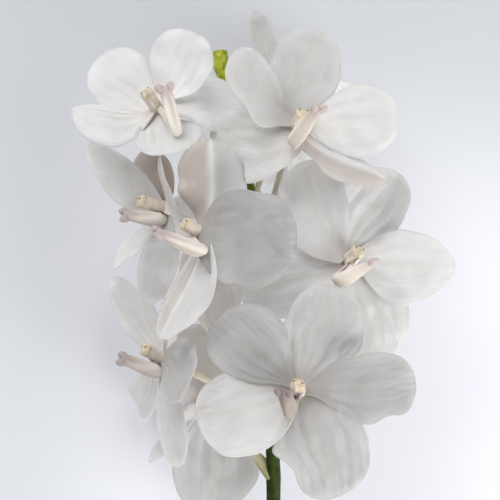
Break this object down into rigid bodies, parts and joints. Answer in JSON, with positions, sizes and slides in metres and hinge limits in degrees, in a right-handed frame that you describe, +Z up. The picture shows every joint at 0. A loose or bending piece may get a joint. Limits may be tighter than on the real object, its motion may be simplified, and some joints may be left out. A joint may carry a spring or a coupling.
{
  "type": "vanda orchid",
  "caption": "Cut flower spike of a white vanda orchid, lying on a surface: open flowers with blush lips along a green stem with a growing tip.",
  "frame": {"origin": "middle of the bounding box in plan, on the surface that the spike lies on", "axes": "+Y along the stem towards the growing tip, +Z up, and +X to the right as seen from above with the tip away"},
  "size_m": [0.1712, 0.3578, 0.1256],
  "materials": {
    "petal": "satin",
    "sepal": "satin",
    "lip": "satin",
    "stem": "satin",
    "growing_tip": "satin",
    "stalk": "satin",
    "column": "satin",
    "anther_cap": "satin"
  },
  "bodies": {
    "root": {"flower_1_dorsal_sepal": "sepal", "flower_1_left_petal": "petal", "flower_1_left_sepal": "sepal", "flower_1_lip": "lip", "flower_1_right_petal": "petal", "flower_1_right_sepal": "sepal", "flower_2_dorsal_sepal": "sepal", "flower_2_left_petal": "petal", "flower_2_left_sepal": "sepal", "flower_2_lip": "lip", "flower_2_right_petal": "petal", "flower_2_right_sepal": "sepal", "flower_3_dorsal_sepal": "sepal", "flower_3_left_petal": "petal", "flower_3_left_sepal": "sepal", "flower_3_lip": "lip", "flower_3_right_petal": "petal", "flower_3_right_sepal": "sepal", "flower_4_dorsal_sepal": "sepal", "flower_4_left_petal": "petal", "flower_4_left_sepal": "sepal", "flower_4_lip": "lip", "flower_4_right_petal": "petal", "flower_4_right_sepal": "sepal", "flower_5_dorsal_sepal": "sepal", "flower_5_left_petal": "petal", "flower_5_left_sepal": "sepal", "flower_5_lip": "lip", "flower_5_right_petal": "petal", "flower_5_right_sepal": "sepal", "flower_6_dorsal_sepal": "sepal", "flower_6_left_petal": "petal", "flower_6_left_sepal": "sepal", "flower_6_lip": "lip", "flower_6_right_petal": "petal", "flower_6_right_sepal": "sepal", "flower_7_dorsal_sepal": "sepal", "flower_7_left_petal": "petal", "flower_7_left_sepal": "sepal", "flower_7_lip": "lip", "flower_7_right_petal": "petal", "flower_7_right_sepal": "sepal", "flower_8_dorsal_sepal": "sepal", "flower_8_left_petal": "petal", "flower_8_left_sepal": "sepal", "flower_8_lip": "lip", "flower_8_right_petal": "petal", "flower_8_right_sepal": "sepal", "flower_9_dorsal_sepal": "sepal", "flower_9_left_petal": "petal", "flower_9_left_sepal": "sepal", "flower_9_lip": "lip", "flower_9_right_petal": "petal", "flower_9_right_sepal": "sepal", "growing_tip": "growing_tip", "stem": "stem"}
  },
  "joints": []
}
